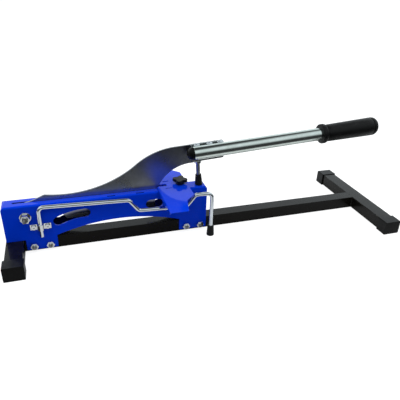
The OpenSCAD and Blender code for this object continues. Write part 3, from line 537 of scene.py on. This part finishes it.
def laid(pattern, name, matrix):
    """A copy of a modelled shape with its own mesh, moved to its place within the mesh."""
    copy = bpy.data.objects.new(name, pattern.data.copy())
    copy.data.transform(matrix)
    scene.collection.objects.link(copy)
    return copy


def one_piece(parts, name):
    """Several laid copies made one piece."""
    begin()
    for part in parts:
        part.select_set(True)
    bpy.context.view_layer.objects.active = parts[0]
    bpy.ops.object.join()
    parts[0].name = name
    return parts[0]


def finish(piece, node, slot, angle=40):
    only(piece)
    bpy.ops.object.shade_smooth_by_angle(angle=math.radians(angle))
    piece.data.materials.clear()
    piece.data.materials.append(FINISHES[slot])
    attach(piece, home[node])
    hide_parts(node)


def discard(pattern):
    mesh = pattern.data
    bpy.data.objects.remove(pattern)
    bpy.data.meshes.remove(mesh)


def bead_pattern(length, radius, ripples):
    """A weld bead along X: a long ball whose rings swell and shrink as the puddle moved on."""
    begin()
    bpy.ops.mesh.primitive_uv_sphere_add(segments=20, ring_count=4 * ripples, radius=1)
    bead = bpy.context.object
    bpy.ops.object.mode_set(mode="EDIT")
    bpy.ops.mesh.select_all(action="SELECT")
    bpy.ops.transform.rotate(value=math.radians(90), orient_axis="Y", center_override=(0, 0, 0))
    for ripple in range(1, 2 * ripples):
        across = -math.cos(math.pi * (2 * ripple) / (4 * ripples))
        pick(bead, lambda at: abs(at.x - across) < 0.01)
        swell = 1.13 if ripple % 2 else 0.97
        bpy.ops.transform.resize(value=(1, swell, swell), center_override=(across, 0, 0))
    bpy.ops.mesh.select_all(action="SELECT")
    bpy.ops.transform.resize(value=(length / 2 * MM, radius * MM, radius * MM), center_override=(0, 0, 0))
    bpy.ops.mesh.subdivide(number_cuts=1, smoothness=1.0)
    bpy.ops.object.mode_set(mode="OBJECT")
    return bead


def make_bracket_welds():
    """Three short beads above the tube and three below, in the corner between tube and bracket."""
    bead = bead_pattern(*BRACKET_BEAD)
    parts = []
    for side in (1, -1):
        for middle in BRACKET_BEAD_MIDDLES:
            corner = Matrix.Translation((middle * MM, BRACKET_FACE_Y - 3.8 * MM, side * 11.8 * MM))
            parts.append(laid(bead, "bead", ON_LEVER @ corner @ Matrix.Diagonal((1, 1.35, 1, 1))))
    discard(bead)
    finish(one_piece(parts, "bracket_beads"), "bracket_welds", "bright_rod", 20)


def make_frame_welds():
    """An upright bead in each corner where the beam meets a crossbar."""
    bead = bead_pattern(*FRAME_BEAD)
    parts = []
    for x, inward in ((-349.5, 1), (349.5, -1)):
        for side in (1, -1):
            corner = Matrix.Translation(((x + inward * 1.0) * MM, side * 13.5 * MM, 14.0 * MM)) @ ALONG_X
            parts.append(laid(bead, "bead", corner))
    discard(bead)
    finish(one_piece(parts, "frame_beads"), "frame_welds", "black_paint", 60)


def make_hand_grip():
    """The bore's floor first, out to the rolled collar, the groove, the swelling body and the closed end."""
    pattern = turned("grip_pattern", GRIP_RINGS)
    grip = laid(pattern, "grip", ON_LEVER @ Matrix.Translation((GRIP_START, TUBE_Y, 0)) @ ALONG_X)
    discard(pattern)
    finish(grip, "hand_grip", "black_rubber", 50)


make_bracket_welds()
make_frame_welds()
make_hand_grip()


# ---- Studio ----
SWEEP_LEVEL, PANEL_LEVEL, ROOM_LEVEL = 0.9, 0.75, 0.04
NEAR_FLOOR, FAR_FLOOR = (0.6, 0.6, 0.6), (0.03, 0.03, 0.03)
FLOOR_FADE = (-0.26, -0.1)


def band(tree, value, start, end, at):
    """Rises smoothly from 0 at start to 1 at end."""
    node = put(tree, "ShaderNodeMapRange", at, {"interpolation_type": "SMOOTHSTEP"}, Value=value,
               From_Min=start, From_Max=end)
    return node.outputs[0]


def make_floor():
    """Pale to the camera, and darker in front of the cutter in its polish."""
    bpy.ops.object.select_all(action="DESELECT")
    bpy.ops.mesh.primitive_plane_add(size=40, location=(0, 0, 0))
    floor = bpy.context.object
    floor.name = "floor"
    material = bpy.data.materials.new("pale_floor")
    material.use_nodes = True
    tree = material.node_tree
    shader = tree.nodes["Principled BSDF"]
    shader.inputs["Roughness"].default_value = 0.9
    shader.inputs["Specular IOR Level"].default_value = 0.1
    ray = tree.nodes.new("ShaderNodeLightPath")
    place = tree.nodes.new("ShaderNodeTexCoord")
    part = put(tree, "ShaderNodeSeparateXYZ", (-900, 200), Vector=place.outputs["Object"])
    near = band(tree, part.outputs[1], *FLOOR_FADE, (-700, 200))
    lit = mix_color(tree, near, FAR_FLOOR, NEAR_FLOOR, (-500, 200))
    tone = mix_color(tree, ray.outputs["Is Camera Ray"], lit, (0.3, 0.3, 0.3), (-300, 200))
    tree.links.new(tone, shader.inputs["Base Color"])
    glow = mix_color(tree, ray.outputs["Is Camera Ray"], (0, 0, 0), (1, 1, 1), (-300, -100))
    tree.links.new(glow, shader.inputs["Emission Color"])
    shader.inputs["Emission Strength"].default_value = 0.87
    floor.data.materials.append(material)


def area_light(name, power, size, place, aim):
    """A soft panel that lights the piece without showing in its polish."""
    data = bpy.data.lights.new(name, "AREA")
    data.shape = "RECTANGLE"
    data.size, data.size_y = size
    data.energy = power
    light = bpy.data.objects.new(name, data)
    place = Vector(place)
    turn = (Vector(aim) - place).to_track_quat("-Z", "Y").to_matrix().to_4x4()
    light.matrix_world = Matrix.Translation(place) @ turn
    light.visible_glossy = False
    scene.collection.objects.link(light)


def set_studio():
    """A pale sweep behind, a soft panel high in front, and a dim room that looks white to the camera."""
    make_floor()
    world = bpy.data.worlds.new("studio")
    scene.world = world
    world.use_nodes = True
    tree = world.node_tree
    tree.nodes.clear()
    direction = tree.nodes.new("ShaderNodeTexCoord")
    part = put(tree, "ShaderNodeSeparateXYZ", (-900, 0), Vector=direction.outputs["Generated"])
    y, z = part.outputs[1], part.outputs[2]
    behind = band(tree, y, -0.1, 0.2, (-600, 300))
    low = band(tree, z, 0.92, 0.55, (-600, 100))
    front = band(tree, y, 0.15, -0.1, (-600, -100))
    above = band(tree, z, 0.0, 0.6, (-600, -300))
    below_top = band(tree, z, 0.995, 0.82, (-600, -500))
    sweep = math_node(tree, "MULTIPLY", behind, low, (-300, 200))
    front_above = math_node(tree, "MULTIPLY", front, above, (-300, -100))
    panel = math_node(tree, "MULTIPLY", front_above, below_top, (-100, -100))
    level = math_node(tree, "ADD", math_node(tree, "MULTIPLY", sweep, SWEEP_LEVEL, (0, 200)),
                      math_node(tree, "MULTIPLY", panel, PANEL_LEVEL, (0, -100)), (200, 0))
    level = math_node(tree, "ADD", level, ROOM_LEVEL, (400, 0))
    ray = tree.nodes.new("ShaderNodeLightPath")
    cool = mix_color(tree, level, (0, 0, 0), (0.92, 1.0, 1.04), (450, 0))
    seen = mix_color(tree, ray.outputs["Is Camera Ray"], cool, (1, 1, 1), (600, 0))
    back = put(tree, "ShaderNodeBackground", (750, 0), Strength=1.0)
    tree.links.new(seen, back.inputs["Color"])
    out = tree.nodes.new("ShaderNodeOutputWorld")
    tree.links.new(back.outputs[0], out.inputs[0])
    area_light("panel_above", 23, (2.6, 1.6), (0.0, -0.1, 1.3), (0, 0, 0))
    area_light("panel_left", 6, (0.8, 0.8), (-1.6, -0.3, 0.5), (-0.2, 0, 0.1))
    scene.view_settings.view_transform = "Standard"


set_camera()
set_studio()
